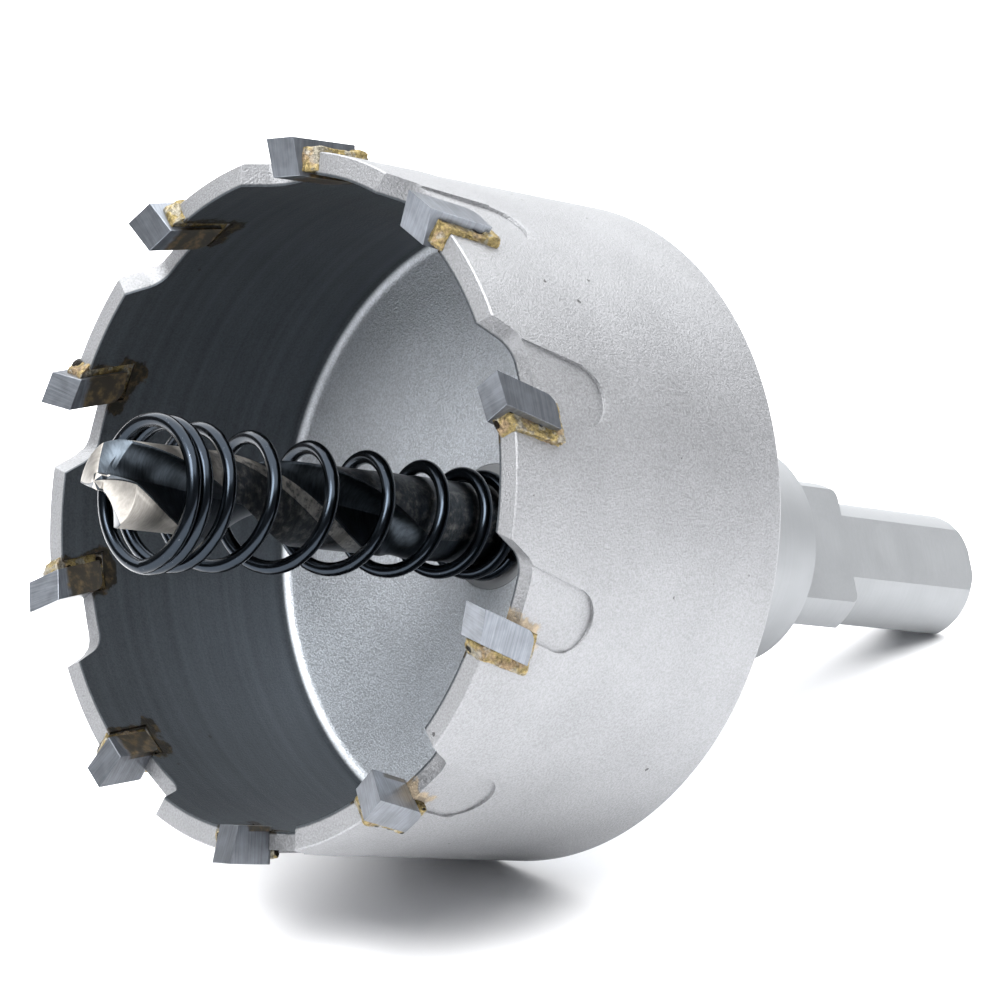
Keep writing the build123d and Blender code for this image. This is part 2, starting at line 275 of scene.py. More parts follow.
def leading_edge(place):
    """How far sideways a tooth's slanted leading face is at a place along the axis."""
    teeth = bpy.context.scene.saw_teeth
    return -math.tan(teeth.slant) * (place + teeth.reach)


# Outlines


def arc_points(centre, radius, start, end, steps=8):
    """Points of an arc, both ends included, angles counted from +x towards +y."""
    angles = [start + (end - start) * k / steps for k in range(steps + 1)]
    return [(centre[0] + radius * math.cos(a), centre[1] + radius * math.sin(a)) for a in angles]


def crowned(start, end, radius, steps=6):
    """Points of a shallow arc that bulges to the right of the way from start to end."""
    start, end = Vector(start), Vector(end)
    half = (end - start) / 2
    outward = Vector((half.y, -half.x)).normalized()
    centre = start + half - outward * math.sqrt(radius**2 - half.length_squared)
    reach = [start.lerp(end, k / steps) - centre for k in range(steps + 1)]
    return [tuple(centre + r.normalized() * radius) for r in reach]


def rounded(outline, index, radius, steps=6):
    """The outline with one of its corners rounded."""
    corner = Vector(outline[index])
    before = (Vector(outline[index - 1]) - corner).normalized()
    after = (Vector(outline[(index + 1) % len(outline)]) - corner).normalized()
    half = before.angle(after) / 2
    middle = corner + (before + after).normalized() * radius / math.sin(half)
    start = corner + before * radius / math.tan(half) - middle
    end = corner + after * radius / math.tan(half) - middle
    bend = [tuple(middle + start.lerp(end, k / steps).normalized() * radius) for k in range(steps + 1)]
    return outline[:index] + bend + outline[index + 1 :]


def tooth_outline():
    """A tooth seen from outside the cup, as (place, sideways) points."""
    teeth = bpy.context.scene.saw_teeth
    width = teeth.width / math.cos(teeth.slant)
    lead = leading_edge(teeth.depth)
    corners = [(-teeth.reach, 0), (teeth.depth, lead), (teeth.depth, lead - width), (-teeth.reach, -width)]
    return rounded(corners, 1, teeth.heel_radius)


def notch_outline():
    """The notch for a tooth and its braze, together with the gullet ahead of it."""
    cup, teeth = bpy.context.scene.saw_cup, bpy.context.scene.saw_teeth
    back = teeth.depth + teeth.braze_back
    width = (teeth.width + teeth.braze_side) / math.cos(teeth.slant)
    ramp = math.tan(cup.gullet_ramp)
    corners = [
        (-teeth.reach, cup.gullet_mouth + teeth.reach * ramp),
        (cup.gullet_depth, cup.gullet_mouth - cup.gullet_depth * ramp),
        (cup.gullet_depth, leading_edge(cup.gullet_depth)),
        (back, leading_edge(back)),
        (back, leading_edge(back) - width),
        (-teeth.reach, -width),
    ]
    return rounded(corners, 1, cup.gullet_corner, 10)


def pocket_outline():
    """The shallow pocket behind a gullet, with its round end."""
    cup, teeth = bpy.context.scene.saw_cup, bpy.context.scene.saw_teeth
    radius = cup.pocket_width / 2
    end = cup.pocket_end - radius
    middle = (end, leading_edge(end) + cup.pocket_offset / math.cos(teeth.slant))
    start = cup.gullet_depth / 2
    shift = math.tan(teeth.slant) * (end - start)
    half = radius / math.cos(teeth.slant)
    bend = arc_points(middle, radius, math.pi / 2 - teeth.slant, -math.pi / 2 - teeth.slant, 24)
    return [(start, middle[1] + shift + half)] + bend + [(start, middle[1] + shift - half)]


# Shapes

WELD = 1e-7


def turned_body(outline, segments):
    """A turned solid: a closed outline of (place, radius) points swept round the saw's axis."""
    body = bmesh.new()
    rings = []
    for place, radius in outline:
        points = [(place, 0, 0)]
        if radius > WELD:
            points = [saw_point(place, radius, 2 * math.pi * k / segments) for k in range(segments)]
        rings.append([body.verts.new(point) for point in points])
    for ring, after in zip(rings, rings[1:] + rings[:1]):
        for k in range(segments):
            n = (k + 1) % segments
            if len(ring) == 1 and len(after) == 1:
                break
            if len(ring) == 1:
                body.faces.new((ring[0], after[k], after[n]))
            elif len(after) == 1:
                body.faces.new((ring[k], after[0], ring[n]))
            else:
                body.faces.new((ring[k], after[k], after[n], ring[n]))
    bmesh.ops.recalc_face_normals(body, faces=body.faces)
    return body


def add_prism(body, outline, low, high, angle):
    """Adds a prism on an outline of (place, sideways) points, from one radius out to another."""
    out = Vector((0, math.sin(angle), math.cos(angle)))
    side = Vector((0, math.cos(angle), -math.sin(angle)))
    rings = [
        [body.verts.new(Vector((place, 0, 0)) + side * across + out * radius) for place, across in outline]
        for radius in (low, high)
    ]
    faces = [body.faces.new(rings[0][::-1]), body.faces.new(rings[1])]
    for k in range(len(outline)):
        n = (k + 1) % len(outline)
        faces.append(body.faces.new((rings[0][k], rings[0][n], rings[1][n], rings[1][k])))
    bmesh.ops.recalc_face_normals(body, faces=faces)


def mesh_object(name, body):
    """An object from a bmesh, which is freed."""
    mesh = bpy.data.meshes.new(name)
    body.to_mesh(mesh)
    body.free()
    piece = bpy.data.objects.new(name, mesh)
    bpy.context.scene.collection.objects.link(piece)
    return piece


def bake(piece):
    """Turns the object's modifiers into its plain mesh."""
    graph = bpy.context.evaluated_depsgraph_get()
    mesh = bpy.data.meshes.new_from_object(piece.evaluated_get(graph))
    piece.modifiers.clear()
    piece.data = mesh


def cut_away(piece, cutter):
    """Cuts one solid out of another."""
    tool = mesh_object("cutter", cutter)
    step = piece.modifiers.new("cut", "BOOLEAN")
    step.operation = "DIFFERENCE"
    step.solver = "EXACT"
    step.object = tool
    bake(piece)
    bpy.data.objects.remove(tool)


def break_edges(piece, radius, sharp=math.radians(28), crease=math.radians(40)):
    """Rounds the sharp edges a little and smooths the rest."""
    body = bmesh.new()
    body.from_mesh(piece.data)
    bmesh.ops.remove_doubles(body, verts=body.verts, dist=WELD)
    bmesh.ops.dissolve_degenerate(body, edges=body.edges, dist=WELD)
    edges = [e for e in body.edges if e.is_manifold and e.calc_face_angle() > sharp]
    bmesh.ops.bevel(
        body, geom=edges, offset=radius, segments=2, profile=0.5, affect="EDGES", clamp_overlap=True
    )
    body.to_mesh(piece.data)
    body.free()
    piece.data.shade_smooth()
    piece.data.set_sharp_from_angle(angle=crease)
    even = piece.modifiers.new("even", "WEIGHTED_NORMAL")
    even.keep_sharp = True
    bake(piece)


def place_piece(piece, material, slot, *nodes):
    """Lays a piece of the saw's frame where the saw rests and lets it stand for its nodes."""
    centre, lean = resting_place()
    piece.data.transform(Matrix.Translation(centre) @ Matrix.Rotation(lean, 4, "Y"))
    piece.data.materials.clear()
    piece.data.materials.append(material)
    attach(piece, "root")
    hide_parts(*nodes)


# Nodes

MATHS = "ShaderNodeMath"
MIX = "ShaderNodeMix"
NOISE = "ShaderNodeTexNoise"
RANGE = "ShaderNodeMapRange"
TINT = "ShaderNodeHueSaturation"
SMOOTH = {"interpolation_type": "SMOOTHSTEP"}


def set_inputs(node, *inputs, **named):
    """Links or sets a node's inputs, by their order or by their names with _ for a space. Each is
    given a value, a socket, or a node, which stands for its first output."""
    open_inputs = [socket for socket in node.inputs if socket.enabled]
    pairs = list(zip(open_inputs, inputs))
    pairs += [(node.inputs[name.replace("_", " ")], source) for name, source in named.items()]
    for socket, source in pairs:
        if isinstance(source, bpy.types.Node):
            source = next(output for output in source.outputs if output.enabled)
        if isinstance(source, bpy.types.NodeSocket):
            node.id_data.links.new(source, socket)
        else:
            socket.default_value = source
    return node


def add_node(tree, kind, *inputs, **named):
    """Adds a node with its settings and links: a name with a capital is an input's, the others are
    settings."""
    node = tree.nodes.new(kind)
    for name, value in named.items():
        if name[0].islower():
            setattr(node, name, value)
    return set_inputs(node, *inputs, **{name: value for name, value in named.items() if name[0].isupper()})


# Finishes


def start_finish(name, metallic, roughness):
    """A new material with its shader, what adds nodes to it, and the saw's own coordinates in millimetres."""
    material = bpy.data.materials.new(name)
    material.use_nodes = True
    shader = set_inputs(
        material.node_tree.nodes["Principled BSDF"], Metallic=metallic, Roughness=roughness
    )
    node = functools.partial(add_node, material.node_tree)
    centre, lean = resting_place()
    here = node("ShaderNodeTexCoord").outputs["Object"]
    saw = node(
        "ShaderNodeMapping",
        vector_type="TEXTURE",
        Vector=here,
        Location=centre,
        Rotation=(0, lean, 0),
        Scale=(MM, MM, MM),
    )
    return material, shader, node, saw


def axis_parts(node, saw):
    """The place along the axis, the radius and the angle in turns."""
    parts = node("ShaderNodeSeparateXYZ", saw)
    y, z = parts.outputs["Y"], parts.outputs["Z"]
    across = node(MATHS, y, y, operation="MULTIPLY")
    upward = node(MATHS, z, z, operation="MULTIPLY")
    radius = node(MATHS, node(MATHS, across, upward, operation="ADD"), operation="SQRT")
    angle = node(MATHS, node(MATHS, y, z, operation="ARCTAN2"), 2 * math.pi, operation="DIVIDE")
    return parts.outputs["X"], radius, angle


def tooth_distance(node, place, angle):
    """How far round the rim, in millimetres, a point is ahead of the middle of the nearest tooth and
    its braze."""
    cup, teeth = bpy.context.scene.saw_cup, bpy.context.scene.saw_teeth
    pitch = 2 * math.pi * cup.band_radius / MM / teeth.count
    braze_shift = 0.9
    braze_middle = teeth.width / MM / 2 + braze_shift
    past_first = node(MATHS, angle, teeth.first_angle / 2 / math.pi, operation="SUBTRACT")
    count = node(MATHS, past_first, teeth.count, operation="MULTIPLY")
    slanted = node(MATHS, place, math.tan(teeth.slant) / pitch, operation="MULTIPLY")
    away = node(MATHS, count, slanted, operation="ADD")
    away = node(MATHS, away, braze_middle / pitch + 0.5, operation="ADD")
    away = node(MATHS, node(MATHS, away, operation="FRACT"), 0.5, operation="SUBTRACT")
    return node(MATHS, away, pitch, operation="MULTIPLY")


def bore_radius():
    """The radius of the cup's bore in millimetres."""
    cup = bpy.context.scene.saw_cup
    return (cup.band_radius - cup.wall) / MM


def burnt_flux_and_shade(node, patches):
    """Burnt flux, nearly black, with brown smears of brass where the patches are high; on the teeth inside
    the cup it is also painted shade.
    """
    finishes = bpy.context.scene.saw_finishes
    return node(MIX, patches, finishes.burnt, finishes.stain, data_type="RGBA")


def blasted_tone(node, grain, cloud, place, radius):
    """How much lighter or darker than its colour the blasted steel is: the grain, a slow drift and
    a painted highlight, the faint pale line where the band ends."""
    cup = bpy.context.scene.saw_cup
    band = cup.band_radius / MM
    sparkle = node(RANGE, grain, 0.28, 0.72, -0.18, 0.18, **SMOOTH)
    drift = node(RANGE, cloud, 0.3, 0.7, -0.04, 0.04, **SMOOTH)
    # painted highlight: a thin pale line along the band's step, where the band ends
    from_line = node(MATHS, place, (cup.band_length + cup.band_height / 2) / MM, operation="SUBTRACT")
    from_line = node(MATHS, from_line, operation="ABSOLUTE")
    line = node(RANGE, from_line, 0.12, 0.02, 0.0, 0.12, **SMOOTH)
    on_band = node(RANGE, radius, band - 0.25, band - 0.15, **SMOOTH)
    line = node(MATHS, line, on_band, operation="MULTIPLY")
    tone = node(MATHS, sparkle, drift, operation="ADD")
    return node(MATHS, tone, line, operation="ADD")


def dark_specks(node, saw, grain):
    """A few small dark pits with ragged edges."""
    cells = node("ShaderNodeTexVoronoi", Vector=saw, Scale=0.42, Randomness=1.0)
    chance = node("ShaderNodeSeparateColor", cells.outputs["Color"])
    size = node(RANGE, chance, 0.5, 1.0, 0.0, 0.06, **SMOOTH)
    ragged = node(RANGE, grain, 0.3, 0.7, -0.02, 0.02, **SMOOTH)
    edge = node(MATHS, cells.outputs["Distance"], ragged, operation="ADD")
    edge = node(MATHS, edge, size, operation="SUBTRACT")
    pits = node(RANGE, edge, 0.012, 0.0, **SMOOTH)
    return node(MATHS, pits, 0.8, operation="MULTIPLY")


def flux_smear(node, saw, place, radius, ahead):
    """Where flux burnt on beside a braze, inside the cup."""
    bore = bore_radius()
    smear = node(NOISE, Vector=saw, Scale=1 / 2.2, Detail=4.0, Roughness=0.55)
    ragged = node(MATHS, smear, 4.0, operation="MULTIPLY")
    beside = node(MATHS, node(MATHS, ahead, operation="ABSOLUTE"), ragged, operation="SUBTRACT")
    beside = node(RANGE, beside, 0.1, -0.2, **SMOOTH)
    behind = node(MATHS, place, ragged, operation="SUBTRACT")
    behind = node(RANGE, behind, 2.8, 2.5, **SMOOTH)
    near = node(MATHS, beside, behind, operation="MULTIPLY")
    inside = node(RANGE, radius, bore + 0.3, bore + 0.1, **SMOOTH)
    smeared = node(MATHS, near, inside, operation="MULTIPLY")
    return node(MATHS, smeared, 0.9, operation="MULTIPLY")


def spilt_brass(node, patches, place, angle, ahead):
    """Where brass ran over the wall ahead of two of the teeth, from the gullet's bottom on."""
    finishes = bpy.context.scene.saw_finishes
    first, last = finishes.spill_from / 2 / math.pi, finishes.spill_to / 2 / math.pi
    after_first = node(RANGE, angle, first, first + 0.002, **SMOOTH)
    before_last = node(RANGE, angle, last, last - 0.002, **SMOOTH)
    there = node(MATHS, after_first, before_last, operation="MULTIPLY")
    wide = node(MATHS, ahead, node(MATHS, patches, 2.2, operation="MULTIPLY"), operation="SUBTRACT")
    wide = node(RANGE, wide, 1.45, 1.0, **SMOOTH)
    deep = node(MATHS, place, node(MATHS, patches, 2.4, operation="MULTIPLY"), operation="SUBTRACT")
    deep = node(RANGE, deep, 3.5, 2.9, **SMOOTH)
    spilt = node(MATHS, wide, deep, operation="MULTIPLY")
    spilt = node(MATHS, spilt, there, operation="MULTIPLY")
    spilt = node(MATHS, spilt, node(RANGE, place, 1.9, 2.3, **SMOOTH), operation="MULTIPLY")
    spilt = node(MATHS, spilt, node(RANGE, ahead, 0.4, 0.8, **SMOOTH), operation="MULTIPLY")
    return node(MATHS, spilt, 0.85, operation="MULTIPLY")


def blasted_steel():
    """Bead-blasted steel: pale, matt grey metal with a fine sparkling grain, a few dark specks,
    the bore darker as painted shade and the floor inside lighter as painted light, and burnt flux and spilt
    brass by the teeth."""
    cup, finishes = bpy.context.scene.saw_cup, bpy.context.scene.saw_finishes
    material, shader, node, saw = start_finish("bead_blasted_steel", 1.0, 0.5)
    place, radius, angle = axis_parts(node, saw)
    bore = bore_radius()
    floor = (cup.cup_length - cup.floor_thickness) / MM
    # blasting beads are 0.1 mm; the grain is drawn at 0.15 mm, as fine as shows
    grain = node(NOISE, Vector=saw, Scale=1 / 0.15, Detail=2.0, Roughness=0.6)
    cloud = node(NOISE, Vector=saw, Scale=1 / 6.0, Detail=3.0)
    tone = blasted_tone(node, grain, cloud, place, radius)
    # the bore keeps faint rings from its turning
    within = node(RANGE, radius, bore + 0.25, bore + 0.1, **SMOOTH)
    off_floor = node(RANGE, place, floor - 0.1, floor - 0.5, **SMOOTH)
    in_bore = node(MATHS, within, off_floor, operation="MULTIPLY")
    rings = node(NOISE, Vector=node("ShaderNodeCombineXYZ", X=place), Scale=1 / 0.9, Detail=3.0)
    rings = node(RANGE, rings, 0.3, 0.7, -0.1, 0.1, **SMOOTH)
    rings = node(MATHS, in_bore, rings, operation="MULTIPLY")
    value = node(MATHS, node(MATHS, tone, 1.0, operation="ADD"), rings, operation="ADD")
    # painted light and shade: the floor inside gets a lighter colour for the light through the mouth, the
    # bore a darker one for the shade inside the cup, and the outside keeps its blasted colour
    clear_of_wall = node(RANGE, radius, bore + 0.1, bore, **SMOOTH)
    near_floor = node(RANGE, place, floor - 1.2, floor - 0.2, **SMOOTH)
    painted_light_on_floor = node(MATHS, clear_of_wall, near_floor, operation="MULTIPLY")
    steel = node(MIX, painted_light_on_floor, finishes.blasted, finishes.lit_cup_floor, data_type="RGBA")
    steel = node(MIX, in_bore, steel, finishes.bore, data_type="RGBA")
    steel = node(TINT, Color=steel, Value=value)
    steel = node(MIX, dark_specks(node, saw, grain), steel, finishes.speck, data_type="RGBA")
    # flux and brass by the teeth
    ahead = tooth_distance(node, place, angle)
    patches = node(NOISE, Vector=saw, Scale=1 / 0.8, Detail=4.0, Roughness=0.6)
    flux = burnt_flux_and_shade(node, node(RANGE, patches, 0.45, 0.75, **SMOOTH))
    steel = node(MIX, flux_smear(node, saw, place, radius, ahead), steel, flux, data_type="RGBA")
    brass = node(TINT, Color=finishes.spill, Value=node(RANGE, patches, 0.3, 0.7, 0.6, 1.5, **SMOOTH))
    steel = node(MIX, spilt_brass(node, patches, place, angle, ahead), steel, brass, data_type="RGBA")
    height = node(MATHS, grain, node(RANGE, in_bore, 0.0, 1.0, 1.0, 0.45, **SMOOTH), operation="MULTIPLY")
    set_inputs(
        shader,
        Base_Color=steel,
        Roughness=node(RANGE, grain, 0.3, 0.7, 0.5, 0.62, **SMOOTH),
        Normal=node("ShaderNodeBump", Height=height, Strength=1.0, Distance=0.06 * MM),
    )
    return material


def turned_steel():
    """Turned steel: satin metal with fine rings round the axis, and milled flats."""
    finishes = bpy.context.scene.saw_finishes
    material, shader, node, saw = start_finish("turned_steel", 1.0, 0.62)
    place, radius, angle = axis_parts(node, saw)
    # turning marks are 0.1 mm apart; drawn at 0.25 mm along the axis and the radius
    along = node("ShaderNodeCombineXYZ", X=place, Y=radius)
    rings = node(NOISE, Vector=along, Scale=1 / 0.25, Detail=3.0, Roughness=0.7)
    cloud = node(NOISE, Vector=saw, Scale=1 / 2.5, Detail=4.0)
    drift = node(MATHS, node(MATHS, cloud, 0.06, operation="MULTIPLY"), 0.9, operation="ADD")
    value = node(MATHS, node(MATHS, rings, 0.14, operation="MULTIPLY"), drift, operation="ADD")
    set_inputs(
        shader,
        Base_Color=node(TINT, Color=finishes.turned, Value=value),
        Roughness=node(RANGE, cloud, 0.3, 0.7, 0.6, 0.66, **SMOOTH),
        Normal=node("ShaderNodeBump", Height=rings, Strength=0.6, Distance=0.012 * MM),
    )
    return material


def grinding_lines(node, saw, radius, angle):
    """Straight grinding lines: across the teeth's sides, and up their ends."""
    cup = bpy.context.scene.saw_cup
    lean = resting_place()[1]
    # grinding lines are 0.05 mm apart; drawn 6.5 to the millimetre, and 4 mm long
    across, along = 6.5, 1 / 4.0
    squeezed = node("ShaderNodeMapping", Vector=saw, Scale=(across, along, along))
    sides = node(NOISE, Vector=squeezed, Scale=1.0, Detail=2.0, Roughness=0.7)
    round_rim = node(MATHS, angle, across * 2 * math.pi * cup.band_radius / MM, operation="MULTIPLY")
    outward = node(MATHS, radius, along, operation="MULTIPLY")
    upward = node("ShaderNodeCombineXYZ", X=round_rim, Y=outward)
    ends = node(NOISE, Vector=upward, Scale=1.0, Detail=2.0, Roughness=0.7)
    normal = node("ShaderNodeTexCoord").outputs["Normal"]
    axis = (math.cos(lean), 0, -math.sin(lean))
    facing = node("ShaderNodeVectorMath", normal, axis, operation="DOT_PRODUCT")
    is_end = node(RANGE, node(MATHS, facing, operation="ABSOLUTE"), 0.5, 0.8, **SMOOTH)
    return node(MIX, is_end, sides, ends, data_type="FLOAT")


def ground_carbide():
    """Ground carbide: blue-grey and duller than steel, with fine straight grinding lines; the part
    of each tooth that lies inside the cup is painted with the burnt flux and brass colours, partly flux and
    partly painted shade on its inside face."""
    finishes = bpy.context.scene.saw_finishes
    material, shader, node, saw = start_finish("ground_carbide", 0.9, 0.36)
    place, radius, angle = axis_parts(node, saw)
    bore = bore_radius()
    lines = grinding_lines(node, saw, radius, angle)
    cloud = node(NOISE, Vector=saw, Scale=1 / 1.2, Detail=3.0)
    streaks = node(RANGE, lines, 0.3, 0.7, -0.14, 0.14, **SMOOTH)
    drift = node(RANGE, cloud, 0.3, 0.7, 0.86, 1.14, **SMOOTH)
    value = node(MATHS, streaks, drift, operation="ADD")
    grey = node(TINT, Color=finishes.carbide, Value=value)
    # inside the cup each tooth is painted dark with the flux colours: partly flux, partly painted shade
    smear = node(NOISE, Vector=saw, Scale=1 / 0.7, Detail=4.0, Roughness=0.6)
    deep = node(MATHS, place, node(MATHS, smear, 0.8, operation="MULTIPLY"), operation="ADD")
    inside = node(RANGE, radius, bore + 0.1, bore, **SMOOTH)
    flux_and_shade_inside = node(MATHS, inside, node(RANGE, deep, 0.2, 0.7, **SMOOTH), operation="MULTIPLY")
    flux = burnt_flux_and_shade(node, node(RANGE, smear, 0.45, 0.75, **SMOOTH))
    dulled = node(MATHS, flux_and_shade_inside, 0.5, operation="MULTIPLY")
    height = node(MIX, flux_and_shade_inside, lines, smear, data_type="FLOAT")
    set_inputs(
        shader,
        Base_Color=node(MIX, flux_and_shade_inside, grey, flux, data_type="RGBA"),
        Metallic=node(MATHS, 0.9, dulled, operation="SUBTRACT"),
        Normal=node("ShaderNodeBump", Height=height, Strength=0.6, Distance=0.02 * MM),
    )
    return material


def brass_braze():
    """Brazing brass as it froze: dull yellow metal with a grainy, lumpy skin, dark pinholes and
    steel-grey and peach-brown bloom in places; burnt dark inside the cup."""
    finishes = bpy.context.scene.saw_finishes
    material, shader, node, saw = start_finish("brass_braze", 1.0, 0.42)
    place, radius, angle = axis_parts(node, saw)
    bore = bore_radius()
    lumps = node(NOISE, Vector=saw, Scale=1 / 0.28, Detail=4.0, Roughness=0.7)
    clouds = node(NOISE, Vector=saw, Scale=1 / 1.3, Detail=3.0)
    elsewhere = node("ShaderNodeMapping", Vector=saw, Location=(9, 4, 2))
    other_clouds = node(NOISE, Vector=elsewhere, Scale=1 / 0.9, Detail=3.0)
    bloom = node(MATHS, node(RANGE, clouds, 0.52, 0.64, **SMOOTH), 0.7, operation="MULTIPLY")
    pale = node(MATHS, node(RANGE, other_clouds, 0.5, 0.62, **SMOOTH), 0.7, operation="MULTIPLY")
    brass = node(MIX, bloom, finishes.brass, finishes.peach, data_type="RGBA")
    brass = node(MIX, pale, brass, finishes.pale, data_type="RGBA")
    brass = node(TINT, Color=brass, Value=node(RANGE, lumps, 0.28, 0.72, 0.4, 1.35, **SMOOTH))
    holes = node("ShaderNodeTexVoronoi", Vector=saw, Scale=0.72)
    chance = node("ShaderNodeSeparateColor", holes.outputs["Color"])
    size = node(RANGE, chance, 0.2, 0.8, 0.0, 0.3, **SMOOTH)
    edge = node(MATHS, holes.outputs["Distance"], size, operation="SUBTRACT")
    pitted = node(RANGE, edge, 0.05, 0.0, **SMOOTH)
    brass = node(MIX, pitted, brass, finishes.pit, data_type="RGBA")
    within = node(RANGE, radius, bore + 0.25, bore, **SMOOTH)
    behind_rim = node(RANGE, place, 0.0, 0.5, **SMOOTH)
    inside = node(MATHS, within, behind_rim, operation="MULTIPLY")
    flux = burnt_flux_and_shade(node, node(RANGE, lumps, 0.45, 0.62, **SMOOTH))
    sunk = node(MATHS, pitted, 1.5, operation="MULTIPLY")
    height = node(MATHS, lumps, sunk, operation="SUBTRACT")
    set_inputs(
        shader,
        Base_Color=node(MIX, inside, brass, flux, data_type="RGBA"),
        Normal=node("ShaderNodeBump", Height=height, Strength=1.0, Distance=0.16 * MM),
    )
    return material


def drill_steel():
    """High-speed steel: steam-black in the flutes and on the plain shank, ground bright on the
    point and the lands."""
    drill, finishes = bpy.context.scene.saw_drill, bpy.context.scene.saw_finishes
    material, shader, node, saw = start_finish("black_and_bright_drill_steel", 1.0, 0.3)
    bright = node("ShaderNodeAttribute", attribute_name="ground").outputs["Fac"]
    squeezed = node("ShaderNodeMapping", Vector=saw, Scale=(6.0, 1.2, 1.2))
    streaks = node(NOISE, Vector=squeezed, Scale=1.0, Detail=3.0, Roughness=0.65)
    land = node(TINT, Color=finishes.land, Value=node(RANGE, streaks, 0.2, 0.8, 0.7, 1.1, **SMOOTH))
    dark = node(TINT, Color=finishes.flute, Value=node(RANGE, streaks, 0.2, 0.8, 0.7, 1.5, **SMOOTH))
    # the margins are mottled, and on the lands pale patches show where the black has worn off; these patches
    # are also a painted reflection of the pale floor
    worn = node(NOISE, Vector=saw, Scale=1 / 0.7, Detail=4.0, Roughness=0.7)
    on_land = node(RANGE, bright, 0.0, drill.worn_land, **SMOOTH)
    place = node("ShaderNodeSeparateXYZ", saw).outputs["X"]
    mottled = node(
        MATHS,
        node(RANGE, worn, 0.35, 0.55, 0.75, 0.0, **SMOOTH),
        node(RANGE, place, drill.mottled_from / MM, drill.land_end / MM, **SMOOTH),
        operation="MULTIPLY",
    )
    dimmed = node(MATHS, bright, mottled, operation="MULTIPLY")
    patches = node(RANGE, worn, 0.4, 0.75, 0.0, 0.5, **SMOOTH)
    patches = node(MATHS, on_land, patches, operation="MULTIPLY")
    bright = node(MATHS, bright, dimmed, operation="SUBTRACT")
    bright = node(MATHS, bright, patches, operation="MAXIMUM")
    set_inputs(
        shader,
        Base_Color=node(MIX, bright, dark, land, data_type="RGBA"),
        Roughness=node(MIX, bright, 0.34, 0.42, data_type="FLOAT"),
        Normal=node("ShaderNodeBump", Height=streaks, Strength=0.5, Distance=0.012 * MM),
    )
    return material


def black_oxide(name):
    """Black oxide on drawn steel wire or a screw: nearly black with narrow, cool highlights and
    a few pale specks of dust."""
    finishes = bpy.context.scene.saw_finishes
    material, shader, node, saw = start_finish(name, 1.0, 0.2)
    dust = node(NOISE, Vector=saw, Scale=1 / 0.25, Detail=4.0, Roughness=0.7)
    specks = node(RANGE, dust, 0.66, 0.72, **SMOOTH)
    set_inputs(
        shader,
        Base_Color=node(MIX, specks, finishes.oxide, finishes.dust, data_type="RGBA"),
        Roughness=node(RANGE, dust, 0.3, 0.7, 0.17, 0.22, **SMOOTH),
        Normal=node("ShaderNodeBump", Height=dust, Strength=0.3, Distance=0.002 * MM),
    )
    return material


def table_paint(name):
    """Plain pale table: matt and nearly white."""
    material = bpy.data.materials.new(name)
    material.use_nodes = True
    paint = {"Base_Color": bpy.context.scene.saw_finishes.floor, "Roughness": 0.9, "Specular_IOR_Level": 0.1}
    set_inputs(material.node_tree.nodes["Principled BSDF"], **paint)
    return material


# Geometry Nodes


def set_modifier(modifier, **values):
    """Sets Geometry Nodes inputs by their sockets' identifiers; a name has _ for a space."""
    for name, value in values.items():
        socket = modifier.node_group.interface.items_tree[name.replace("_", " ")]
        modifier[socket.identifier] = value


def start_tree(name, **inputs):
    """A new Geometry Nodes tree with named inputs and one shape coming out, and what adds its nodes."""
    tree = bpy.data.node_groups.new(name, "GeometryNodeTree")
    tree.interface.new_socket("Geometry", in_out="INPUT", socket_type="NodeSocketGeometry")
    for label, kind in inputs.items():
        tree.interface.new_socket(label.replace("_", " "), in_out="INPUT", socket_type=kind)
    tree.interface.new_socket("Shape", in_out="OUTPUT", socket_type="NodeSocketGeometry")
    node = functools.partial(add_node, tree)
    return tree, node, node("NodeGroupInput").outputs


def end_tree(node, shape, material):
    """Makes the shape real, gives it its material and leads it out of the tree."""
    real = node("GeometryNodeRealizeInstances", Geometry=shape)
    painted = node("GeometryNodeSetMaterial", Geometry=real, Material=material)
    node("NodeGroupOutput", painted)


def ring_of(name, block, material, melt=None):
    """A piece of one block repeated round the saw's axis, once for each tooth; melt may change its
    shape."""
    teeth = bpy.context.scene.saw_teeth
    kinds = {"Count": "NodeSocketInt", "First_angle": "NodeSocketFloat"}
    tree, node, given = start_tree(f"{name} round the rim", **kinds)
    points = node("GeometryNodePoints", Count=given["Count"])
    share = node(MATHS, node("GeometryNodeInputIndex"), given["Count"], operation="DIVIDE")
    angle = node(MATHS, share, 2 * math.pi, operation="MULTIPLY")
    angle = node(MATHS, angle, given["First angle"], operation="ADD")
    # angles grow from the top towards +y, which is a negative turn about x
    turned = node("ShaderNodeCombineXYZ", X=node(MATHS, angle, -1.0, operation="MULTIPLY"))
    source = node("GeometryNodeObjectInfo", Object=block).outputs["Geometry"]
    shape = node("GeometryNodeInstanceOnPoints", Points=points, Instance=source, Rotation=turned)
    if melt:
        shape = melt(node, node("GeometryNodeRealizeInstances", Geometry=shape))
    end_tree(node, shape, material)
    ring = mesh_object(name, bmesh.new())
    modifier = ring.modifiers.new("ring", "NODES")
    modifier.node_group = tree
    set_modifier(modifier, Count=teeth.count, First_angle=teeth.first_angle)
    bake(ring)
    bpy.data.objects.remove(block)
    return ring


# Pieces


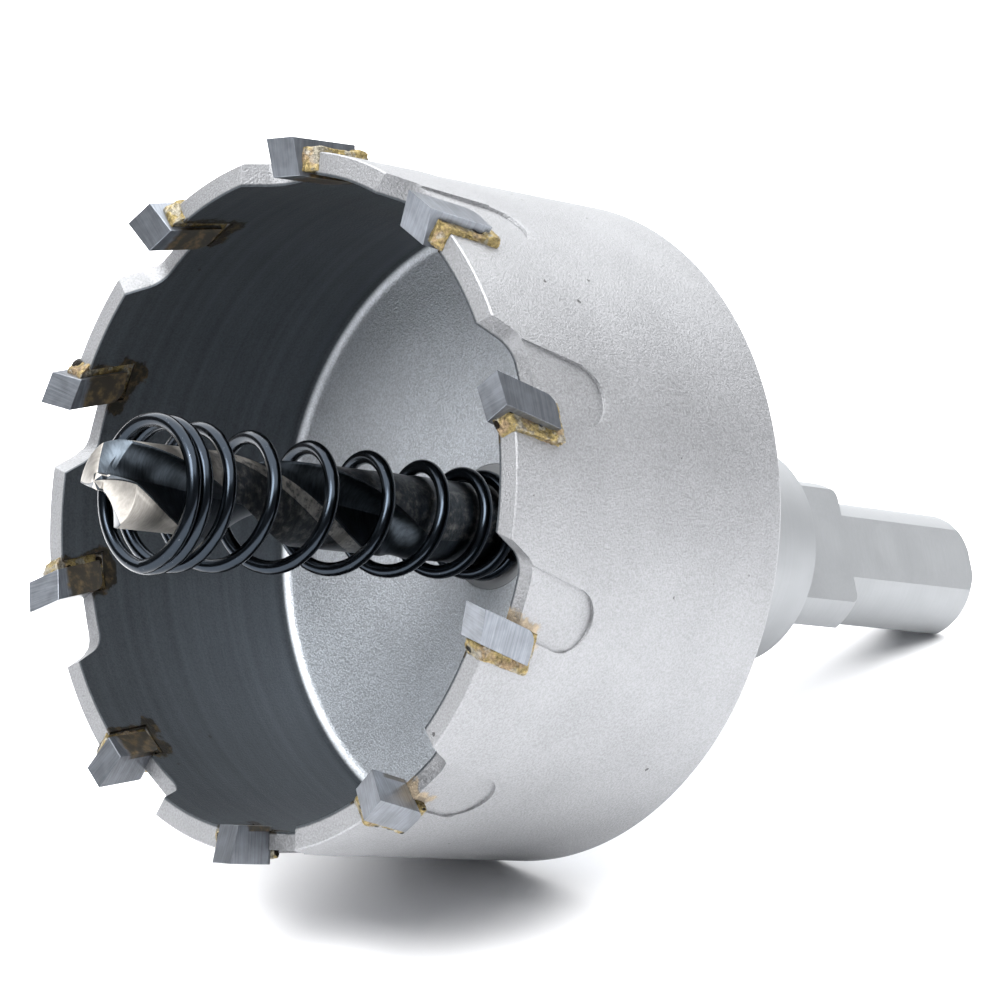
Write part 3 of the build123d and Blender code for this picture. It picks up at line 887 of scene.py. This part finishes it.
class MakeCup(bpy.types.Operator):
    """Makes the turned cup with its notches, gullets and pockets"""

    bl_idname = "hole_saw.make_cup"
    bl_label = "Cup"

    def execute(self, context):
        cup = context.scene.saw_cup
        floor = cup.cup_length - cup.floor_thickness
        bore = cup.band_radius - cup.wall
        body_radius = cup.band_radius - cup.band_height
        fillet, edge = cup.floor_fillet, cup.back_edge
        outline = [(cup.cup_length, cup.spigot_hole), (floor, cup.spigot_hole)]
        outline += arc_points((floor - fillet, bore - fillet), fillet, 0, math.pi / 2)
        outline += [
            (0, bore),
            (0, cup.band_radius - cup.rim_break),
            (cup.rim_break, cup.band_radius),
            (cup.band_length, cup.band_radius),
            (cup.band_length + cup.band_height, body_radius),
        ]
        # two more rings, clear of the pockets and the back edge, keep the wall's shading even
        outline += [(cup.pocket_end + 0.6 * MM, body_radius), (cup.cup_length - 5 * edge, body_radius)]
        outline += arc_points((cup.cup_length - edge, body_radius - edge), edge, math.pi / 2, 0)
        piece = mesh_object("cup_shell", turned_body(outline, 240))
        notches = bmesh.new()
        pockets = bmesh.new()
        for angle in tooth_angles():
            add_prism(notches, notch_outline(), bore / 2, cup.band_radius * 1.2, angle)
            pocket_floor = cup.band_radius - cup.pocket_depth
            add_prism(pockets, pocket_outline(), pocket_floor, cup.band_radius * 1.1, angle)
        cut_away(piece, notches)
        cut_away(piece, pockets)
        break_edges(piece, cup.edge_break)
        place_piece(piece, blasted_steel(), "cup_steel", "cup")
        return {"FINISHED"}


class MakeShank(bpy.types.Operator):
    """Makes the shank: spigot, collar, root and the chuck end with its flats"""

    bl_idname = "hole_saw.make_shank"
    bl_label = "Shank"

    def execute(self, context):
        cup, shank, drill = context.scene.saw_cup, context.scene.saw_shank, context.scene.saw_drill
        back = cup.cup_length
        collar_back = back + shank.collar_length
        root_back = collar_back + shank.root_length
        end = root_back + shank.end_length
        bore = drill.radius + shank.drill_clearance
        bore_end = drill.drill_length - drill.reach + shank.drill_spare
        chamfer, fillet, edge = shank.collar_chamfer, shank.root_fillet, shank.root_edge
        foot = (collar_back + fillet, shank.root_radius + fillet)
        outline = [(end, 0)]
        chamfer_start = (end - shank.end_chamfer, shank.end_radius)
        outline += crowned((end, shank.end_face), chamfer_start, shank.end_crown)
        outline += [(root_back, shank.end_radius)]
        outline += arc_points((root_back - edge, shank.root_radius - edge), edge, 0, math.pi / 2)
        outline += arc_points(foot, fillet, -math.pi / 2, -math.pi)
        outline += [
            (collar_back, shank.collar_radius - chamfer),
            (collar_back - chamfer, shank.collar_radius),
            (back, shank.collar_radius),
            (back, shank.spigot_radius),
            (back - cup.floor_thickness, shank.spigot_radius),
            (back - cup.floor_thickness, bore),
            (bore_end, bore),
            (bore_end, 0),
        ]
        piece = mesh_object("shank_turning", turned_body(outline, 144))
        # the cutters reach well past the steel
        flats = bmesh.new()
        wide = 2 * shank.root_radius
        strip = [(collar_back, -wide), (collar_back, wide), (end * 1.1, wide), (end * 1.1, -wide)]
        for k in range(shank.flat_count):
            # the first flat lies on the table
            angle = math.pi + 2 * math.pi * k / shank.flat_count
            add_prism(flats, strip, shank.flat_apothem, wide, angle)
        cut_away(piece, flats)
        hole = bmesh.new()
        circle = arc_points((back + shank.screw_place, 0), shank.screw_radius, 0, 2 * math.pi, 48)[:-1]
        add_prism(hole, circle, 0, shank.collar_radius * 1.5, shank.screw_angle)
        cut_away(piece, hole)
        break_edges(piece, shank.edge_break)
        place_piece(piece, turned_steel(), "shank_steel", "shank")
        return {"FINISHED"}


class MakeDrill(bpy.types.Operator):
    """Makes the twist drill: point, flutes, lands with margins and a plain shank"""

    bl_idname = "hole_saw.make_drill"
    bl_label = "Pilot drill"

    def execute(self, context):
        drill = context.scene.saw_drill
        tip, end = -drill.reach, drill.drill_length - drill.reach
        pointed = tip + drill.radius / math.tan(drill.point / 2) + drill.heel_drop
        section = self.half_section(drill)
        point_rings, flute_rings = 90, 150
        places = [tip + (pointed - tip) * k / point_rings for k in range(1, point_rings + 1)]
        places += [pointed + (drill.flute_end - pointed) * k / flute_rings for k in range(1, flute_rings + 1)]
        places += [end - drill.end_chamfer, end]
        body = bmesh.new()
        ground = body.faces.layers.float.new("ground")
        rings = [self.add_ring(body, drill, section, place) for place in places]
        for ring, after, place in zip(rings, rings[1:], places):
            for k, corner in enumerate(ring):
                n = (k + 1) % len(ring)
                corners = (corner, after[k], after[n], ring[n])
                face = body.faces.new([vert for vert, is_ground, on_land, on_margin in corners])
                face[ground] = self.brightness(drill, place, corners)
        body.faces.new([vert for vert, is_ground, on_land, on_margin in rings[-1]])
        top = body.verts.new((tip, 0, 0))
        for corner, other in zip(rings[0], rings[0][1:] + rings[0][:1]):
            face = body.faces.new((top, corner[0], other[0]))
            face[ground] = 1
        tip_weld, crease = 2e-6, math.radians(32)
        bmesh.ops.remove_doubles(body, verts=body.verts, dist=tip_weld)
        bmesh.ops.recalc_face_normals(body, faces=body.faces)
        piece = mesh_object("twist_drill", body)
        piece.data.shade_smooth()
        piece.data.set_sharp_from_angle(angle=crease)
        place_piece(piece, drill_steel(), "drill_steel", "pilot_drill")
        return {"FINISHED"}

    def add_ring(self, body, drill, section, place):
        """Adds the drill's section at a place: for each corner its vertex, whether it is ground,
        and whether it is on a land and on the bright strip of one."""
        end = drill.drill_length - drill.reach
        slope = math.tan(drill.point / 2)
        from_tip = place + drill.reach
        depth = min(max((drill.flute_end - place) / drill.runout, 0), 1)
        depth = depth * depth * (3 - 2 * depth)
        twist = drill.flute_angle - drill.flute_width / 2 - 2 * math.pi * from_tip / drill.lead
        chisel = min(drill.chisel, from_tip * slope)
        ring = []
        for half_turn in (0, math.pi):
            for radius, angle, on_land, round_angle in section:
                radius += (drill.radius - radius) * (1 - depth)
                angle += (round_angle - angle) * (1 - depth)
                behind_lip = math.pi - round_angle
                flank = on_land and behind_lip < drill.gash_angle
                on_strip = on_land and behind_lip * drill.radius < drill.margin + drill.bright_strip
                limit = max((from_tip - self.point_drop(drill, behind_lip)) * slope, chisel)
                cut = radius > limit
                if place == end:
                    limit = drill.radius - drill.end_chamfer
                point = saw_point(place, min(radius, limit), angle + twist + half_turn)
                is_ground = cut and (flank or radius < drill.ground_web)
                ring.append((body.verts.new(point), is_ground, on_land and (flank or not cut), on_strip))
        return ring

    def brightness(self, drill, place, corners):
        """How bright a face is: 1 where it is ground, and next to nothing on a worn black land."""
        first, *between, last = corners
        on_land = first[2] and last[2]
        turns_black = drill.bright_end if first[3] or last[3] else drill.land_end
        fade = min(max((turns_black - place) / drill.fade, 0), 1)
        bright = on_land or all(is_ground for vert, is_ground, land, strip in corners)
        return max(fade if bright else 0, drill.worn_land if on_land else 0)

    def half_section(self, drill):
        """One flute and the land after it: radius, angle from the leading corner, whether on the
        land, and the angle the point has where the flute has run out."""
        lip_foot = Vector((0.5, 0.47)) * MM
        corner = Vector((drill.radius, 0))
        points = [corner.lerp(lip_foot, k / 24) for k in range(25)]
        cutter_centre = Vector((1.84, 1.84)) * MM
        cutter_radius = 2.1 * MM
        start, stop = math.radians(222), math.radians(152)
        points += [Vector(p) for p in arc_points(cutter_centre, cutter_radius, start, stop, 30)[1:]]
        section = [
            (point.length, math.atan2(point.y, point.x), False, drill.flute_width * k / len(points))
            for k, point in enumerate(points)
        ]
        land = math.pi - drill.flute_width
        land_steps = 40
        for k in range(land_steps):
            behind = land * (1 - k / land_steps) * drill.radius
            lowered = drill.land_relief * min(max((behind - drill.margin) / drill.margin_slope, 0), 1)
            angle = drill.flute_width + land * k / land_steps
            section.append((drill.radius - lowered, angle, True, angle))
        return section

    def point_drop(self, drill, behind):
        """How far the ground point falls back at an angle behind its lip."""
        land = math.pi - drill.flute_width
        if behind > land:
            return drill.heel_drop * (1 - (behind - land) / drill.flute_width)
        eased = min(behind / drill.gash_angle, 1) * drill.point_relief
        gash = max(behind - drill.gash_angle, 0) / (land - drill.gash_angle)
        return eased + (drill.heel_drop - drill.point_relief) * gash


class MakeSpring(bpy.types.Operator):
    """Winds the conical ejector spring from round wire"""

    bl_idname = "hole_saw.make_spring"
    bl_label = "Ejector spring"

    def execute(self, context):
        spring = context.scene.saw_spring
        steps = 640
        front = spring.back_place - self.advance(spring, spring.wire_turns)
        taper_turns = spring.wire_turns - spring.closed_turns - spring.rear_turns - spring.grip_turns
        line = bmesh.new()
        points = []
        for k in range(steps + 1):
            turned = spring.wire_turns * k / steps
            share = min(max(turned - spring.closed_turns, 0) / taper_turns, 1)
            radius = spring.front_radius + (spring.rear_radius - spring.front_radius) * share
            angle = spring.start_angle + 2 * math.pi * turned
            point = saw_point(front + self.advance(spring, turned), radius, angle)
            points.append(line.verts.new(point - Vector((0, 0, spring.front_sag * (1 - share)))))
        for one, other in zip(points, points[1:]):
            line.edges.new((one, other))
        piece = mesh_object("spring_wire", line)
        material = black_oxide("black_oxide_spring_wire")
        modifier = piece.modifiers.new("wire", "NODES")
        modifier.node_group = self.wire_tree(material)
        set_modifier(modifier, Wire_radius=spring.wire_radius)
        bake(piece)
        place_piece(piece, material, "spring_steel", "ejector_spring")
        return {"FINISHED"}

    def advance(self, spring, turned):
        """How far the wire has gone along the axis after so many turns from its front end."""
        step = spring.open_pitch - spring.closed_pitch
        closing_turns = spring.fall_turns + spring.rear_turns
        open_turns = spring.wire_turns - spring.closed_turns - spring.rise_turns - closing_turns
        risen = min(max(turned - spring.closed_turns, 0), spring.rise_turns)
        opened = max(turned - spring.closed_turns - spring.rise_turns, 0)
        fallen = min(max(opened - open_turns, 0), spring.fall_turns)
        closed = max(opened - open_turns - spring.fall_turns, 0)
        return (
            spring.closed_pitch * min(turned, spring.closed_turns)
            + spring.closed_pitch * risen
            + step * risen**2 / spring.rise_turns / 2
            + spring.open_pitch * min(opened, open_turns)
            + spring.open_pitch * fallen
            - step * fallen**2 / spring.fall_turns / 2
            + spring.closed_pitch * closed
        )

    def wire_tree(self, material):
        """Gives a line of edges a round wire section."""
        tree, node, given = start_tree("Round wire", Wire_radius="NodeSocketFloat")
        path = node("GeometryNodeMeshToCurve", Mesh=given["Geometry"])
        ring = node(
            "GeometryNodeCurvePrimitiveCircle", mode="RADIUS", Resolution=20, Radius=given["Wire radius"]
        )
        tube = node("GeometryNodeCurveToMesh", Curve=path, Profile_Curve=ring, Fill_Caps=True)
        end_tree(node, node("GeometryNodeSetShadeSmooth", Geometry=tube), material)
        return tree


class MakeTeeth(bpy.types.Operator):
    """Makes the carbide teeth, one ground block repeated round the rim"""

    bl_idname = "hole_saw.make_teeth"
    bl_label = "Carbide teeth"

    def execute(self, context):
        cup, teeth = context.scene.saw_cup, context.scene.saw_teeth
        inner = cup.band_radius - cup.wall - teeth.proud_inside
        outer = cup.band_radius + teeth.proud_outside
        body = bmesh.new()
        add_prism(body, tooth_outline(), inner, outer, 0)
        bmesh.ops.bisect_plane(
            body,
            geom=body.verts[:] + body.edges[:] + body.faces[:],
            plane_co=(-teeth.reach, 0, outer),
            plane_no=(-1, -math.tan(teeth.front_relief), -math.tan(teeth.inward_bevel)),
            clear_outer=True,
        )
        bmesh.ops.holes_fill(body, edges=[e for e in body.edges if e.is_boundary])
        bmesh.ops.recalc_face_normals(body, faces=body.faces)
        block = mesh_object("tooth_block", body)
        break_edges(block, teeth.edge_break)
        material = ground_carbide()
        ring = ring_of("carbide_teeth", block, material)
        names = [f"carbide_tooth_{k + 1:02d}" for k in range(teeth.count)]
        place_piece(ring, material, "carbide", *names)
        return {"FINISHED"}


class MakeBraze(bpy.types.Operator):
    """Makes the brazed seams: brass that fills each notch and creeps a little over its edges"""

    bl_idname = "hole_saw.make_braze"
    bl_label = "Braze seams"

    def execute(self, context):
        cup, teeth = context.scene.saw_cup, context.scene.saw_teeth
        bore = cup.band_radius - cup.wall
        back = teeth.depth + teeth.braze_back
        tooth = teeth.width / math.cos(teeth.slant)
        seam = teeth.braze_side / math.cos(teeth.slant)
        climb, creep, spread = teeth.braze_climb, teeth.braze_creep, teeth.braze_spread
        overlap, under_heel = 0.2 * MM, 0.9 * MM
        sink, swell_beside = 0.05 * MM, 0.12 * MM
        lead = leading_edge
        beside = [
            (-climb, lead(-climb) - tooth + overlap),
            (back + creep, lead(back) - tooth + overlap),
            (back + creep, lead(back) - tooth - seam - creep),
            (-creep, lead(0) - tooth - seam - spread),
            (-climb, lead(-climb) - tooth - spread),
        ]
        # the braze behind reaches under the tooth's round heel
        behind = [
            (teeth.depth - under_heel, lead(back) - creep),
            (back + creep, lead(back)),
            (back + creep, lead(back) - tooth - seam),
            (teeth.depth - overlap, lead(back) - tooth - seam),
        ]
        inner = bore - sink
        body = bmesh.new()
        add_prism(body, beside, inner, cup.band_radius + swell_beside, 0)
        add_prism(body, behind, inner, cup.band_radius + teeth.braze_swell, 0)
        material = brass_braze()
        ring = ring_of("brass_braze_seams", mesh_object("seam_block", body), material, self.frozen_skin)
        names = [f"braze_seam_{k + 1:02d}" for k in range(teeth.count)]
        place_piece(ring, material, "braze", *names)
        return {"FINISHED"}

    def frozen_skin(self, node, shape):
        """Melts sharp blocks into one lumpy skin."""
        teeth = bpy.context.scene.saw_teeth
        size = {"resolution_mode": "VOXEL_SIZE", "Voxel_Size": 0.09 * MM}
        cloud = node("GeometryNodeMeshToVolume", Mesh=shape, Interior_Band_Width=0.3 * MM, **size)
        skin = node("GeometryNodeVolumeToMesh", Volume=cloud, **size)
        lumps = node(NOISE, noise_dimensions="3D", Scale=1 / teeth.lump_width, Detail=2.0, Roughness=0.5)
        height = node(MATHS, lumps, 0.5, operation="SUBTRACT")
        height = node(MATHS, height, teeth.braze_lumps, operation="MULTIPLY")
        normal = node("GeometryNodeInputNormal")
        offset = node("ShaderNodeVectorMath", normal, operation="SCALE", Scale=height)
        moved = node("GeometryNodeSetPosition", Geometry=skin, Offset=offset)
        return node("GeometryNodeSetShadeSmooth", Geometry=moved)


class FinishScrew(bpy.types.Operator):
    """Gives the grub screw its black oxide"""

    bl_idname = "hole_saw.finish_screw"
    bl_label = "Grub screw"

    def execute(self, context):
        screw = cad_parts["grub_screw"]
        screw.data.materials.clear()
        screw.data.materials.append(black_oxide("black_oxide_screw"))
        return {"FINISHED"}


class MakeStage(bpy.types.Operator):
    """Lays the pale table and sets the lights and the camera"""

    bl_idname = "hole_saw.make_stage"
    bl_label = "Stage"

    def execute(self, context):
        floor = bmesh.new()
        bmesh.ops.create_grid(floor, x_segments=1, y_segments=1, size=3.0)
        table = mesh_object("pale_table", floor)
        table.data.materials.append(table_paint("pale_table_paint"))
        self.add_light("overhead_softbox", place=(0.12, 0.14, 0.8), size=2.2, power=68.0)
        self.add_light("side_softbox", place=(0.45, -0.8, 0.35), size=0.9, power=0.2)
        self.add_light("front_softbox", place=(-0.4, -0.12, 0.62), size=0.35, power=6.5)
        world = context.scene.world or bpy.data.worlds.new("studio_air")
        context.scene.world = world
        world.use_nodes = True
        set_inputs(world.node_tree.nodes["Background"], Color=linear("f2f5fa"), Strength=0.28)
        context.scene.view_settings.view_transform = "Standard"
        self.add_camera(context)
        return {"FINISHED"}

    def add_light(self, name, place, size, power):
        """A square softbox that faces the saw."""
        light = bpy.data.lights.new(name, "AREA")
        light.size = size
        light.energy = power
        lamp = bpy.data.objects.new(name, light)
        lamp.location = place
        saw_middle = Vector((0, 0, 0.025))
        lamp.rotation_euler = (saw_middle - lamp.location).to_track_quat("-Z", "Y").to_euler()
        bpy.context.scene.collection.objects.link(lamp)

    def add_camera(self, context):
        """The photograph's camera: a long lens close to the teeth, a little above, and a little rolled."""
        place = Vector((-175.645, -197.461, 123.147)) * MM
        target = Vector((-3.857, 2.586, 24.331)) * MM
        roll = math.radians(-5.838)
        data = bpy.data.cameras.new("camera")
        data.sensor_width = 36
        data.lens = 136.81
        data.clip_start = 0.01
        camera = bpy.data.objects.new("camera", data)
        camera.location = place
        facing = (target - place).to_track_quat("-Z", "Y").to_matrix().to_4x4()
        camera.rotation_euler = (facing @ Matrix.Rotation(roll, 4, "Z")).to_euler()
        context.scene.collection.objects.link(camera)
        context.scene.camera = camera


class HoleSawPanel(bpy.types.Panel):
    """Lists the pieces of the hole saw"""

    bl_idname = "VIEW3D_PT_hole_saw"
    bl_label = "Hole saw"
    bl_space_type = "VIEW_3D"
    bl_region_type = "UI"
    bl_category = "Hole saw"

    def draw(self, context):
        for operator in OPERATORS:
            self.layout.operator(operator.bl_idname)


SETTINGS = {
    "saw_cup": CupSizes,
    "saw_teeth": ToothSizes,
    "saw_shank": ShankSizes,
    "saw_drill": DrillSizes,
    "saw_spring": SpringSizes,
    "saw_finishes": Finishes,
}
OPERATORS = (MakeCup, MakeShank, MakeDrill, MakeSpring, MakeTeeth, MakeBraze, FinishScrew, MakeStage)


def register():
    """Registers the settings, the operators and the panel."""
    for name, group in SETTINGS.items():
        bpy.utils.register_class(group)
        setattr(bpy.types.Scene, name, bpy.props.PointerProperty(type=group))
    for kind in (*OPERATORS, HoleSawPanel):
        bpy.utils.register_class(kind)


def unregister():
    """Removes what register added."""
    for kind in (HoleSawPanel, *reversed(OPERATORS)):
        bpy.utils.unregister_class(kind)
    for name, group in SETTINGS.items():
        delattr(bpy.types.Scene, name)
        bpy.utils.unregister_class(group)


def main():
    """Makes every piece and the stage."""
    register()
    bpy.ops.hole_saw.make_cup()
    bpy.ops.hole_saw.make_shank()
    bpy.ops.hole_saw.make_drill()
    bpy.ops.hole_saw.make_spring()
    bpy.ops.hole_saw.make_teeth()
    bpy.ops.hole_saw.make_braze()
    bpy.ops.hole_saw.finish_screw()
    bpy.ops.hole_saw.make_stage()


if __name__ == "__main__":
    main()
